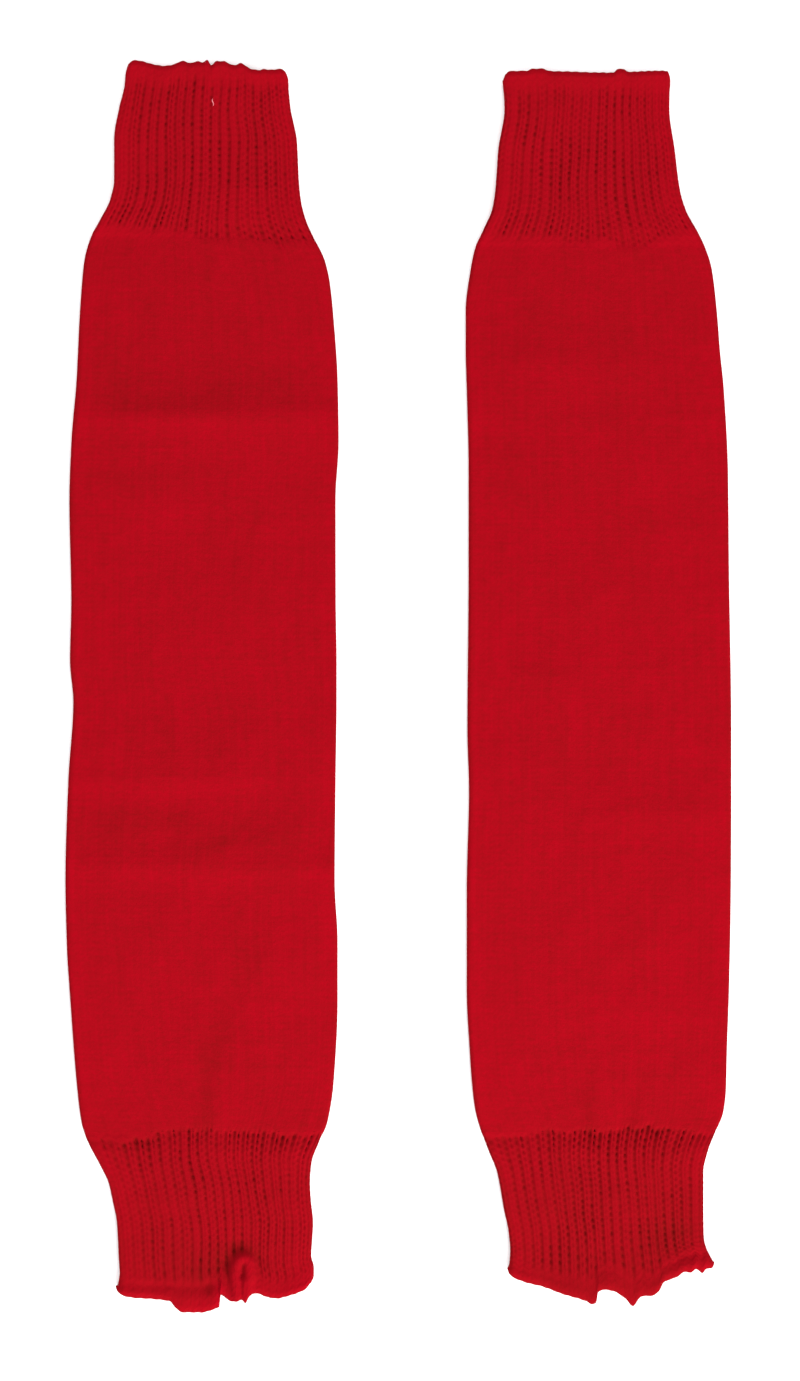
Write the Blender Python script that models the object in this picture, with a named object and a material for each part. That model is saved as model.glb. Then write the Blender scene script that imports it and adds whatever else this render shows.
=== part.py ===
"""A pair of knitted leg warmers with ribbed cuffs, laid flat side by side.

Each leg warmer is a tube in three stretches: a ribbed top cuff, a plain leg and a
ribbed bottom cuff. It lies pressed flat, so its back layer rests on the surface, its
front layer lies on the back layer, and its two sides are soft folds. Both ends are
open. +Z is up and +Y points to the top hems. Sizes are in millimetres unless a name
says otherwise, and the meshes are made in metres.
"""

import math
from collections import namedtuple

import bmesh
import bpy

MM = 0.001

# Cloth
LEG_WALL = 1.9
CUFF_WALL = 2.3
LAYER_GAP = 0.3
SEAM_GAP = 0.3
FOLD_PUFF = 0.15
FOLD_PUFF_WIDTH = 9.0

# Ribs of the cuffs
TOP_RIBS = 19
BOTTOM_RIBS = 21
RIB_DEPTH = 0.9
RIB_SHOULDERS = (0.3, 0.7)
WELT = 5.5
WELT_RIB = 0.25

# Rings round a tube
FOLD_ANGLES = (150, 120)
LEG_FRONT_POINTS = 21
LEG_BACK_POINTS = 11
CUFF_BACK_POINTS = 41
INSIDE_POINTS = 9
INSIDE_START = 0.25
HEM_RINGS = (0.0, 2.5, 7.0)
RING_SPACING = 7.0
RING_GAP = 20.0
LEVEL_SLANT = 10
RIDGE_CREST = 1.4
HEM_REACH = 26.0
MOUTH_LIFT = 0.7
MOUTH_REACH = 12.0
MOUTH_RIPPLE = 0.5
MOUTH_RIPPLE_LENGTH = 20.0
SHARP_ANGLE = 50

# Colours, linear red, green and blue
LEG_RED = (0.462, 0.0040, 0.0116)
CUFF_RED = (0.402, 0.0044, 0.0110)
KNIT_ROUGHNESS = 0.9

# A row of a table is read from the top hem down or from the left side to the right.
# along is the distance below the top hem line, and across, left and right are measured
# from the centre line, with the right side positive.
Section = namedtuple("Section", "along left right")
HemRow = namedtuple("HemRow", "across front back")
Ridge = namedtuple("Ridge", "along across length rise fall height slant")
LegWarmer = namedtuple(
    "LegWarmer", "name x y leg_from leg_to end sections top_hem bottom_hem ridges"
)

# Tops of the two leg warmers on the surface, as they lie in the pair
LEFT_X = -94.0
RIGHT_X = 97.0
LEFT_Y = 300.0
RIGHT_Y = 295.5

LEFT_SECTIONS = (
    Section(0, -38.0, 40.6),
    Section(9, -39.0, 41.2),
    Section(20, -41.5, 42.0),
    Section(36, -44.0, 45.0),
    Section(55, -44.0, 46.0),
    Section(65, -46.0, 47.0),
    Section(75, -51.0, 49.5),
    Section(84, -55.5, 53.5),
    Section(94, -58.2, 58.2),
    Section(104, -59.3, 60.6),
    Section(123, -60.6, 62.6),
    Section(152, -62.0, 64.5),
    Section(182, -64.5, 65.0),
    Section(210, -65.5, 63.5),
    Section(260, -64.6, 63.6),
    Section(288, -65.2, 64.0),
    Section(308, -63.6, 64.0),
    Section(346, -66.0, 63.5),
    Section(395, -67.4, 63.1),
    Section(424, -66.8, 64.5),
    Section(453, -65.0, 64.5),
    Section(492, -62.0, 62.6),
    Section(511, -59.7, 59.7),
    Section(521, -56.6, 55.8),
    Section(531, -51.4, 52.2),
    Section(541, -46.6, 51.4),
    Section(550, -44.6, 51.9),
    Section(560, -42.7, 52.9),
    Section(578, -41.7, 52.0),
    Section(585, -41.3, 53.2),
    Section(591, -42.0, 53.0),
    Section(594, -44.2, 51.6),
)

RIGHT_SECTIONS = (
    Section(0, -46.8, 34.8),
    Section(16, -46.0, 34.4),
    Section(36, -49.0, 37.0),
    Section(55, -50.4, 39.4),
    Section(65, -52.0, 42.2),
    Section(75, -56.3, 47.5),
    Section(84, -60.0, 51.8),
    Section(94, -62.1, 54.8),
    Section(114, -64.5, 57.2),
    Section(133, -64.5, 58.7),
    Section(152, -64.0, 60.6),
    Section(191, -63.1, 62.6),
    Section(240, -63.1, 63.1),
    Section(317, -63.7, 64.2),
    Section(346, -62.9, 64.2),
    Section(395, -64.0, 64.0),
    Section(443, -64.0, 63.1),
    Section(472, -62.6, 62.1),
    Section(492, -61.1, 61.6),
    Section(502, -59.7, 60.4),
    Section(511, -57.2, 57.0),
    Section(521, -53.6, 53.0),
    Section(531, -49.6, 50.9),
    Section(550, -46.1, 50.9),
    Section(560, -44.0, 51.0),
    Section(572, -43.2, 52.2),
    Section(580, -43.4, 54.2),
    Section(586, -44.8, 56.6),
)

# How far each layer reaches past the straight hem line
LEFT_TOP_HEM = (
    HemRow(-38, -1.2, -2.0),
    HemRow(-36.8, 1.2, 0.0),
    HemRow(-33.5, 2.6, 1.2),
    HemRow(-29.5, 2.0, 0.8),
    HemRow(-25.5, 0.9, 0.4),
    HemRow(-19, -0.1, 0.0),
    HemRow(-15, 0.5, 0.0),
    HemRow(-10.5, 2.3, 0.6),
    HemRow(-6.5, 1.3, 0.2),
    HemRow(-3.5, 2.2, 0.2),
    HemRow(-1, 1.6, 0.0),
    HemRow(1.4, 2.7, 0.0),
    HemRow(3.4, 0.2, -0.6),
    HemRow(6, 2.1, -0.4),
    HemRow(9, 2.1, -0.6),
    HemRow(14.5, 0.2, -1.2),
    HemRow(17.5, 1.2, -1.4),
    HemRow(22.5, -1.6, -2.2),
    HemRow(26.7, -2.2, -2.6),
    HemRow(29, -1.7, -2.6),
    HemRow(32, -2.0, -2.8),
    HemRow(37, -1.6, -3.0),
    HemRow(39.4, -2.6, -4.0),
    HemRow(40.8, -5.0, -5.6),
)

RIGHT_TOP_HEM = (
    HemRow(-46.8, -1.6, -2.4),
    HemRow(-45.4, 0.6, -0.6),
    HemRow(-43, 1.9, 0.8),
    HemRow(-34, 2.0, 1.0),
    HemRow(-28.5, 2.9, 1.2),
    HemRow(-24, 1.9, 1.0),
    HemRow(-9, 1.5, 0.8),
    HemRow(7, 1.1, 0.4),
    HemRow(10.4, 2.8, 0.8),
    HemRow(14, 1.5, 0.6),
    HemRow(31, 2.0, 1.0),
    HemRow(33.6, 2.0, 0.4),
    HemRow(34.8, -0.8, -2.0),
)

LEFT_BOTTOM_HEM = (
    HemRow(-44.2, -2.4, -3.4),
    HemRow(-41, 0.6, -1.0),
    HemRow(-35.5, 2.2, 0.6),
    HemRow(-23, 3.2, 1.6),
    HemRow(-16.8, 4.0, 2.2),
    HemRow(-14, 7.0, 4.6),
    HemRow(-11, 9.4, 7.2),
    HemRow(-2, 9.6, 7.6),
    HemRow(5, 7.8, 5.8),
    HemRow(7.4, 6.6, 4.6),
    HemRow(7.9, 0.8, -0.6),
    HemRow(10.7, 2.8, 1.0),
    HemRow(13.5, 4.2, 2.4),
    HemRow(15.5, 4.0, 2.2),
    HemRow(18, 3.2, 1.4),
    HemRow(20, 4.6, 2.6),
    HemRow(21.6, 2.0, 0.4),
    HemRow(24, 0.2, -1.4),
    HemRow(27, 0.6, -1.0),
    HemRow(30, 2.0, 0.4),
    HemRow(35, 2.8, 1.0),
    HemRow(41, 1.4, -0.2),
    HemRow(49, -1.8, -2.8),
    HemRow(51.6, -4.4, -4.8),
)

RIGHT_BOTTOM_HEM = (
    HemRow(-44.8, -7.2, -8.0),
    HemRow(-43.6, -5.2, -6.4),
    HemRow(-35, -1.4, -2.6),
    HemRow(-27.5, 0.5, -0.8),
    HemRow(-18.5, 3.8, 2.4),
    HemRow(-6, 7.7, 5.4),
    HemRow(-3.8, 9.0, 5.0),
    HemRow(-1.3, 8.6, 3.8),
    HemRow(-0.6, 3.4, 2.2),
    HemRow(2, 1.9, 1.4),
    HemRow(6, 2.3, 1.8),
    HemRow(9.5, 3.9, 3.0),
    HemRow(13, 6.6, 5.0),
    HemRow(16.5, 10.0, 7.4),
    HemRow(20.5, 5.2, 5.0),
    HemRow(26.2, 4.8, 3.6),
    HemRow(29, 2.6, 1.4),
    HemRow(31.5, -1.6, -2.8),
    HemRow(37.3, -4.0, -5.4),
    HemRow(42.2, -6.8, -8.0),
    HemRow(44.4, -6.3, -7.8),
    HemRow(47, -8.2, -9.4),
    HemRow(50, -6.0, -7.8),
    HemRow(52, -8.2, -9.4),
    HemRow(55, -8.3, -9.6),
    HemRow(56.6, -10.2, -11.0),
)

# Soft ridges of the front layer. rise and fall are the widths of their upper and lower
# slopes. slant is the fall, in degrees, of a ridge that runs across, and one that runs
# down the leg has 90. The last of the left ones is the roll of its puckered hem.
LEFT_RIDGES = (
    Ridge(169.5, 0, 150, 13, 13, 1.8, -1),
    Ridge(345.5, -17, 104, 20, 7, 0.9, -1),
    Ridge(374, 31, 64, 7, 12, 0.5, -17),
    Ridge(387.5, 0, 150, 13, 13, 1.5, 1),
    Ridge(449, 21, 72, 14, 6, 0.4, 115),
    Ridge(588, 18.8, 26, 5, 5, 1.6, 90),
)

RIGHT_RIDGES = (
    Ridge(139, -7, 90, 14, 16, 0.8, 2),
    Ridge(358.5, 25, 84, 7, 12, 0.6, -1),
    Ridge(425, 10, 40, 6, 9, 0.4, -20),
)

LEFT = LegWarmer(
    "left",
    LEFT_X,
    LEFT_Y,
    84.0,
    516.0,
    594.0,
    LEFT_SECTIONS,
    LEFT_TOP_HEM,
    LEFT_BOTTOM_HEM,
    LEFT_RIDGES,
)
RIGHT = LegWarmer(
    "right",
    RIGHT_X,
    RIGHT_Y,
    84.0,
    511.5,
    586.0,
    RIGHT_SECTIONS,
    RIGHT_TOP_HEM,
    RIGHT_BOTTOM_HEM,
    RIGHT_RIDGES,
)

# A ring of a tube: its points, each with its place round the ring from 0 to 1
RingPoint = namedtuple("RingPoint", "turn x y z")


def clear_scene():
    """Remove everything that the scene already holds."""
    for thing in list(bpy.data.objects):
        bpy.data.objects.remove(thing, do_unlink=True)


def read_row(rows, key, at, column):
    """The value of a table's column at a place between its rows, on a straight line."""
    if at <= getattr(rows[0], key):
        return getattr(rows[0], column)
    for low, high in zip(rows, rows[1:]):
        start, stop = getattr(low, key), getattr(high, key)
        if at <= stop:
            share = (at - start) / (stop - start)
            first, last = getattr(low, column), getattr(high, column)
            return first + (last - first) * share
    return getattr(rows[-1], column)


def side_folds(warmer, along):
    """The left and right side folds at a distance below the top hem."""
    left = read_row(warmer.sections, "along", along, "left")
    right = read_row(warmer.sections, "along", along, "right")
    return left, right


def fade(distance, reach):
    """1 at a hem, falling softly to 0 at the distance called reach."""
    share = min(max(distance / reach, 0.0), 1.0)
    return (1.0 - share) ** 2 * (1.0 + 2.0 * share)


def ridge_height(warmer, across, along):
    """How far the ridges lift the front layer; each has a soft crest and uneven slopes."""
    lift = 0.0
    for ridge in warmer.ridges:
        turn = math.radians(ridge.slant)
        over, down = across - ridge.across, along - ridge.along
        lengthwise = over * math.cos(turn) + down * math.sin(turn)
        sideways = down * math.cos(turn) - over * math.sin(turn)
        taper = math.exp(-((lengthwise / (0.5 * ridge.length)) ** 4))
        width = ridge.rise if sideways < 0.0 else ridge.fall
        rounded = math.hypot(sideways, RIDGE_CREST) - RIDGE_CREST
        lift += ridge.height * taper * math.exp(-rounded / width)
    return lift


def front_height(warmer, across, along, wall):
    """Height of the front layer's outer face above the surface, on a rib's crest."""
    left, right = side_folds(warmer, along)
    edge = min(across - left, right - across)
    puff = FOLD_PUFF * math.exp(-((edge / FOLD_PUFF_WIDTH) ** 2))
    mouth = min(along, warmer.end - along)
    parted = MOUTH_LIFT * fade(max(mouth, 0.0), MOUTH_REACH)
    ripple = 1.0 + MOUTH_RIPPLE * math.sin(2.0 * math.pi * across / MOUTH_RIPPLE_LENGTH)
    height = 2.0 * wall + LAYER_GAP + puff + parted * ripple
    return height + ridge_height(warmer, across, along)


def hem_shift(warmer, across, along, layer):
    """How far a hem pulls a point of one layer up or down the leg."""
    up = read_row(warmer.top_hem, "across", across, layer)
    down = read_row(warmer.bottom_hem, "across", across, layer)
    return down * fade(warmer.end - along, HEM_REACH) - up * fade(along, HEM_REACH)


def rib_amount(warmer, along):
    """Depth of the ribs as a share of the full depth: small on the plain welts."""
    from_hem = min(along, warmer.end - along)
    share = min(max(from_hem / WELT, 0.0), 1.0)
    return WELT_RIB + (1.0 - WELT_RIB) * share * share


def front_places(ribs):
    """Places across the front layer, 0 to 1, each with its share of a furrow's depth."""
    if not ribs:
        last = LEG_FRONT_POINTS - 1
        return [(i / last, 0.0) for i in range(LEG_FRONT_POINTS)]
    places = []
    for rib in range(ribs):
        if rib:
            places.append((rib / ribs, 1.0))
        places += [((rib + shoulder) / ribs, 0.0) for shoulder in RIB_SHOULDERS]
    return places


def turn_of(x, left, right, front):
    """Place round a tube from 0 to 1, from its left fold over the front and back."""
    share = 0.5 * (x - left) / (right - left)
    return share if front else 1.0 - share


def outer_ring(warmer, along, wall, ribs):
    """Points round the outside: left fold, front, right fold and flat back."""
    left, right = side_folds(warmer, along)
    left_radius = 0.5 * front_height(warmer, left, along, wall)
    right_radius = 0.5 * front_height(warmer, right, along, wall)
    start, stop = left + left_radius, right - right_radius
    depth = RIB_DEPTH * rib_amount(warmer, along)
    ring = []

    def add(x, z, front):
        y = -(along + hem_shift(warmer, x, along, "front" if front else "back"))
        ring.append(RingPoint(turn_of(x, left, right, front), x, y, z))

    add(left, left_radius, True)
    for angle in FOLD_ANGLES:
        turn = math.radians(angle)
        add(start + left_radius * math.cos(turn), left_radius * (1 + math.sin(turn)), True)
    for place, furrow in front_places(ribs):
        x = start + (stop - start) * place
        add(x, front_height(warmer, x, along, wall) - furrow * depth, True)
    for angle in reversed(FOLD_ANGLES):
        turn = math.radians(angle)
        add(stop - right_radius * math.cos(turn), right_radius * (1 + math.sin(turn)), True)
    add(right, right_radius, True)
    for angle in FOLD_ANGLES:
        turn = math.radians(angle)
        add(stop - right_radius * math.cos(turn), right_radius * (1 - math.sin(turn)), False)
    last_back = (CUFF_BACK_POINTS if ribs else LEG_BACK_POINTS) - 1
    for i in range(last_back + 1):
        place = i / last_back
        add(stop + (start - stop) * place, 0.0, False)
    for angle in reversed(FOLD_ANGLES):
        turn = math.radians(angle)
        add(start + left_radius * math.cos(turn), left_radius * (1 - math.sin(turn)), False)
    return ring


def inner_ring(warmer, along, wall):
    """Points round the plain inside, a thin slit between the two layers."""
    left, right = side_folds(warmer, along)
    start, stop = left + wall, right - wall
    ring = []

    def add(x, z, front):
        y = -(along + hem_shift(warmer, x, along, "front" if front else "back"))
        ring.append(RingPoint(turn_of(x, left, right, front), x, y, z))

    span = INSIDE_POINTS - 1 + 2.0 * INSIDE_START
    places = [(i + INSIDE_START) / span for i in range(INSIDE_POINTS)]
    add(start, 0.5 * front_height(warmer, start, along, wall), True)
    for place in places:
        x = start + (stop - start) * place
        add(x, front_height(warmer, x, along, wall) - wall, True)
    add(stop, 0.5 * front_height(warmer, stop, along, wall), True)
    for place in reversed(places):
        add(start + (stop - start) * place, wall, False)
    return ring


def add_ring(mesh, ring):
    """Make a ring's vertices, in metres."""
    return [mesh.verts.new((p.x * MM, p.y * MM, p.z * MM)) for p in ring]


def join_like_rings(mesh, rings):
    """Faces along a tube, between rings with the same number of vertices."""
    for one, two in zip(rings, rings[1:]):
        for i in range(len(one)):
            j = (i + 1) % len(one)
            mesh.faces.new((one[i], one[j], two[j], two[i]))


def join_unlike_rings(mesh, outer, outer_verts, inner, inner_verts):
    """Triangles across a tube's end, between rings with unlike numbers of vertices."""
    i = j = 0
    while i < len(outer) or j < len(inner):
        next_outer = outer[i + 1].turn if i + 1 < len(outer) else 1.0 + outer[0].turn
        next_inner = inner[j + 1].turn if j + 1 < len(inner) else 1.0 + inner[0].turn
        here = outer_verts[i % len(outer)]
        there = inner_verts[j % len(inner)]
        if j == len(inner) or (i < len(outer) and next_outer <= next_inner):
            i += 1
            mesh.faces.new((here, outer_verts[i % len(outer)], there))
        else:
            j += 1
            mesh.faces.new((here, inner_verts[j % len(inner)], there))


def make_tube(warmer, stretch, places, wall, ribs, material):
    """One stretch of a leg warmer: a flattened tube of cloth, open at both ends.

    ribs is how many lie across the front layer, and 0 makes it plain.
    """
    mesh = bmesh.new()
    outers = [outer_ring(warmer, along, wall, ribs) for along in places]
    inners = [inner_ring(warmer, along, wall) for along in places]
    outer_verts = [add_ring(mesh, ring) for ring in outers]
    inner_verts = [add_ring(mesh, ring) for ring in inners]
    join_like_rings(mesh, outer_verts)
    join_like_rings(mesh, inner_verts)
    for end in (0, -1):
        join_unlike_rings(mesh, outers[end], outer_verts[end], inners[end], inner_verts[end])
    bmesh.ops.recalc_face_normals(mesh, faces=mesh.faces)
    name = f"{warmer.name}_{stretch}"
    data = bpy.data.meshes.new(name)
    mesh.to_mesh(data)
    mesh.free()
    data.shade_smooth()
    data.set_sharp_from_angle(angle=math.radians(SHARP_ANGLE))
    data.materials.append(material)
    return bpy.data.objects.new(name, data)


def knit_material(name, colour):
    """Matt red wool."""
    material = bpy.data.materials.new(name)
    material.use_nodes = True
    shader = material.node_tree.nodes["Principled BSDF"]
    shader.inputs["Base Color"].default_value = (*colour, 1.0)
    shader.inputs["Roughness"].default_value = KNIT_ROUGHNESS
    shader.inputs["Metallic"].default_value = 0.0
    return material


def spaced(places):
    """The places in order, without those that lie too close to the one before."""
    kept = []
    for place in sorted(places):
        if not kept or place - kept[-1] >= RING_SPACING:
            kept.append(place)
    return kept


def filled(places):
    """The places, with more of them between those that lie far apart."""
    full = [places[0]]
    for start, stop in zip(places, places[1:]):
        steps = math.ceil((stop - start) / RING_GAP)
        full += [start + (stop - start) * i / steps for i in range(1, steps + 1)]
    return full


def rings_between(warmer, first, last):
    """Rings of a stretch: its ends, where its outline turns, and over its ridges."""
    places = [row.along for row in warmer.sections]
    for ridge in warmer.ridges:
        if abs(ridge.slant) < LEVEL_SLANT:
            places += [ridge.along - ridge.rise, ridge.along, ridge.along + ridge.fall]
    inside = [p for p in places if first + RING_SPACING < p < last - RING_SPACING]
    return filled([first, *spaced(inside), last])


def make_leg_warmer(warmer, collection):
    """The three stretches of one leg warmer, under an empty that places them."""
    leg_red = knit_material(f"{warmer.name}_leg_wool", LEG_RED)
    top_red = knit_material(f"{warmer.name}_top_cuff_wool", CUFF_RED)
    bottom_red = knit_material(f"{warmer.name}_bottom_cuff_wool", CUFF_RED)
    half_gap = 0.5 * SEAM_GAP
    near_hem = HEM_RINGS[-1]
    top_hem_rings = HEM_RINGS[:-1]
    bottom_hem_rings = [warmer.end - place for place in reversed(top_hem_rings)]
    top_rings = rings_between(warmer, near_hem, warmer.leg_from - half_gap)
    leg_rings = rings_between(warmer, warmer.leg_from + half_gap, warmer.leg_to - half_gap)
    bottom_rings = rings_between(warmer, warmer.leg_to + half_gap, warmer.end - near_hem)
    pieces = [
        make_tube(
            warmer, "top_cuff", [*top_hem_rings, *top_rings], CUFF_WALL, TOP_RIBS, top_red
        ),
        make_tube(warmer, "leg", leg_rings, LEG_WALL, 0, leg_red),
        make_tube(
            warmer,
            "bottom_cuff",
            [*bottom_rings, *bottom_hem_rings],
            CUFF_WALL,
            BOTTOM_RIBS,
            bottom_red,
        ),
    ]
    holder = bpy.data.objects.new(f"{warmer.name}_leg_warmer", None)
    holder.location = (warmer.x * MM, warmer.y * MM, 0.0)
    collection.objects.link(holder)
    for piece in pieces:
        piece.parent = holder
        collection.objects.link(piece)
    return holder, pieces


def centre_on_origin(holders, pieces):
    """Move the pair so that the origin is at the middle of its box's underside."""
    bpy.context.view_layer.update()
    points = [piece.matrix_world @ v.co for piece in pieces for v in piece.data.vertices]
    for axis in (0, 1):
        values = [point[axis] for point in points]
        middle = 0.5 * (min(values) + max(values))
        for holder in holders:
            holder.location[axis] -= middle


def main():
    clear_scene()
    collection = bpy.data.collections.new("pair_of_leg_warmers")
    bpy.context.scene.collection.children.link(collection)
    holders, pieces = [], []
    for warmer in (LEFT, RIGHT):
        holder, stretches = make_leg_warmer(warmer, collection)
        holders.append(holder)
        pieces += stretches
    centre_on_origin(holders, pieces)


main()
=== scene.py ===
import math
from collections import namedtuple

import bpy
import numpy as np
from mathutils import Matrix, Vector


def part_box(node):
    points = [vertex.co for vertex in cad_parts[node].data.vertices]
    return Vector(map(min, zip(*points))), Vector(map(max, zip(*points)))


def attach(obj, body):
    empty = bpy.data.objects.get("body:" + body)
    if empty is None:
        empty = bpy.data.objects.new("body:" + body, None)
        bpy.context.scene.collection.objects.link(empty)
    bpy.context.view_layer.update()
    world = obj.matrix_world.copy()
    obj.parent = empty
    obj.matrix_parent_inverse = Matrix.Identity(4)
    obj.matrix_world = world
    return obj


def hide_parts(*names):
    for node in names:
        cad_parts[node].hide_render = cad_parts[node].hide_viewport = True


# The looks of a pair of red knitted leg warmers, laid flat side by side. Each stretch of
# knitted tube is one closed shell of cloth, with its ribs, creases and hems as geometry
# and its stitches in the material. Sizes are in millimetres unless a comment says otherwise.

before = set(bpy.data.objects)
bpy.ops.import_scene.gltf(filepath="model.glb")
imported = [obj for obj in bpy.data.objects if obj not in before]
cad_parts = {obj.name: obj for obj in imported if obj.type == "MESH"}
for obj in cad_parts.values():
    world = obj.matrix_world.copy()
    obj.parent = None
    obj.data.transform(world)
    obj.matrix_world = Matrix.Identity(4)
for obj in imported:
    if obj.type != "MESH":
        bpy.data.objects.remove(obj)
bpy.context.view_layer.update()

MM = 0.001

# Cloth, as in the solids
LEG_WALL = 1.9
CUFF_WALL = 2.3
WALL_BLEND = 11.0
LAYER_GAP = 0.3
SEAM_GAP = 0.3
FOLD_PUFF = 0.15
FOLD_PUFF_WIDTH = 9.0
MOUTH_LIFT = 0.7
MOUTH_REACH = 12.0
MOUTH_RIPPLE = 0.5
MOUTH_RIPPLE_LENGTH = 20.0
HEM_REACH = 26.0
RIDGE_CREST = 1.4

# Soft waves: size, then the shortest and longest wave. The first two make the cloth
# uneven, the next two let the wales stray sideways, counted in ribs, and the last two
# vary the furrows' depth and the places of their pits. Each seed is added to a leg
# warmer's own.
BROAD_WAVES = (0.16, 30.0, 90.0)
SMALL_WAVES = (0.05, 7.0, 22.0)
STRAY_WAVES = (0.16, 70.0, 240.0)
PITCH_WAVES = (0.05, 22.0, 50.0)
FURROW_WAVES = (0.13, 14.0, 60.0)
PIT_WAVES = (0.13, 9.0, 40.0)
PIT_WAVE_STEP = 13.8
WAVE_COUNT = 16
DEEPEST_WAVE = 0.25
PIT_SEED = 3
STRAY_SEED = 5
FURROW_SEED = 9
PIT_WAVE_SEED = 12

# Ribs, counted in furrows round a tube
TOP_RIBS = 19
BOTTOM_RIBS = 21
RIBS_ROUND_FOLD = 2
MOST_RIBS_ROUND = 2 * (BOTTOM_RIBS + RIBS_ROUND_FOLD)
RIB_COURSE = 3.15

# A spread is the least value, then what is added to it in full by a share of 1. The
# share is a rib's or a pit's own random number, or how far a point lies from a stitch.

# Furrows between the ribs, calmer beside the side folds; widths are shares of a rib
FURROW_DEPTH = 0.75
FURROW_WIDTH = 0.19
FURROW_SPREAD = (0.95, 0.3)
FURROW_LIMITS = (0.3, 2.0)
FOLD_CALM = 0.5
FOLD_CALM_REACH = 9.0

# Pits down each furrow, one at every stitch
PIT_DEPTH = 0.5
PIT_SPREAD = (0.45, 1.1)
PIT_SHIFT = 0.35
PITS_OWN = 64

# A shallower furrow that splits each rib's crest, deepest between the stitches
SPLIT_DEPTH = 0.40
SPLIT_WIDTH = 0.6 * FURROW_WIDTH
SPLIT_SPREAD = (0.4, 1.2)
SPLIT_BETWEEN = 1.5

# Ends of the ribs beside the leg: how softly and unevenly they fade, dark strokes at the
# bottom cuff, split crests that make the ribs denser, and a bead along the top seam
TOP_RIB_FADE = 5.5
BOTTOM_RIB_FADE = 3.2
START_SPREAD = 3.2
STROKE_DEPTH = 0.38
STROKE_MIDDLE = 2.4
STROKE_REACH = 3.2
STROKE_SPREAD = (0.3, 1.4)
TOP_FAN = 9.0
BOTTOM_FAN = 8.0
FAN_MIDDLE = 0.4
FAN_PIT_SPREAD = (0.25, 0.75)
FAN_SPREAD = (0.4, 0.75)
FAN_STROKE = 1.1
SEAM_BEAD = 0.14
SEAM_BEAD_OUTSIDE = 1.0
SEAM_BEAD_WIDTH = 0.9

# Reaches of the wales' lean and swing, and the width over which they stray
STRAY_ACROSS = 120.0
LEAN_REACH_SHARE = 0.3
SWING_REACH = 26.0
TOP_LEAN_REACH = 110.0

# Hems: a rounded edge, a scallop at each rib, a plain welt that the ribs fade into, and
# a crease above it
EDGE_DROP = 0.8
EDGE_REACH = 2.6
SCALLOP = 0.12
SCALLOP_REACH = 6.0
CREASE_DEPTH = 0.8
CREASE_WIDTH = 2.3
WELT_BULGE = 0.45
WELT_RIB = 0.10
TOP_WELT = 3.5
TOP_WELT_SPREAD = (5.6, 6.4)
BOTTOM_WELT_FADE = 7.2

# Wales of the plain legs
WALES_ACROSS = 46
WALES_ROUND_FOLD = 3
LEG_COURSE = 3.0
WALE_DEPTH = 0.08

# Painted shade in the puckers, round the side folds and at the hems, and a band of painted
# light beside the folds
PAINTED_PUCKER_SHADE = 0.2
PAINTED_RIM_SHADE = 0.45
PAINTED_BOTTOM_RIM_SHADE = 0.85
RIM_REACH = 1.8
PAINTED_FOLD_LIGHT = 0.10
PAINTED_FOLD_LIGHT_FROM = 4.5
PAINTED_FOLD_LIGHT_REACH = 3.5

# Grid of a piece
POINTS_A_RIB = 8
POINTS_A_WALE = 4
FINE_ROW = 0.8
LEG_ROW = 2.6
FINE_STRETCH = 13.0
INSIDE_ROW = 10.0
RIM_STEPS = 4
SHEET_SAMPLES = 40

# Tables of each leg warmer. along is the distance below the top hem line; across, left
# and right are measured from the centre line, with the right side positive.
Section = namedtuple("Section", "along left right")
HemRow = namedtuple("HemRow", "across front back")
RibEnd = namedtuple("RibEnd", "across top bottom")
WeltRow = namedtuple("WeltRow", "across width crease")
Ridge = namedtuple("Ridge", "along across length rise fall height slant")
Pucker = namedtuple("Pucker", "along across radius depth furrows")
Nap = namedtuple("Nap", "along across length width slant shade")
LoopPoint = namedtuple("LoopPoint", "along across")

# top_lean and lean tilt the wales at the top and the bottom, and swing bends them to the
# left and the right side near the bottom seam, all as shares of a side's width
LegWarmer = namedtuple(
    "LegWarmer",
    "name seed leg_from leg_to end sections top_hem bottom_hem rib_ends welt"
    " top_lean lean swing ridges puckers nap loop",
)

# A knit has so many ribs or wales across a layer and round a fold, so many grid points
# for each, and the heights of its stitches and of its grid's rows
Knit = namedtuple("Knit", "across fold points course row")
TOP_KNIT = Knit(TOP_RIBS, RIBS_ROUND_FOLD, POINTS_A_RIB, RIB_COURSE, FINE_ROW)
BOTTOM_KNIT = Knit(BOTTOM_RIBS, RIBS_ROUND_FOLD, POINTS_A_RIB, RIB_COURSE, FINE_ROW)
LEG_KNIT = Knit(WALES_ACROSS, WALES_ROUND_FOLD, POINTS_A_WALE, LEG_COURSE, LEG_ROW)

LEFT_SECTIONS = (
    Section(0, -38, 40.6),
    Section(9, -39, 41.2),
    Section(20, -41.5, 42),
    Section(36, -44, 45),
    Section(55, -44, 46),
    Section(65, -46, 47),
    Section(75, -51, 49.5),
    Section(84, -55.5, 53.5),
    Section(94, -58.2, 58.2),
    Section(104, -59.3, 60.6),
    Section(123, -60.6, 62.6),
    Section(152, -62, 64.5),
    Section(182, -64.5, 65),
    Section(210, -65.5, 63.5),
    Section(260, -64.6, 63.6),
    Section(288, -65.2, 64),
    Section(308, -63.6, 64),
    Section(346, -66, 63.5),
    Section(395, -67.4, 63.1),
    Section(424, -66.8, 64.5),
    Section(453, -65, 64.5),
    Section(492, -62, 62.6),
    Section(511, -59.7, 59.7),
    Section(521, -56.6, 55.8),
    Section(531, -51.4, 52.2),
    Section(541, -46.6, 51.4),
    Section(550, -44.6, 51.9),
    Section(560, -42.7, 52.9),
    Section(578, -41.7, 52),
    Section(585, -41.3, 53.2),
    Section(591, -42, 53),
    Section(594, -44.2, 51.6),
)

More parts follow.
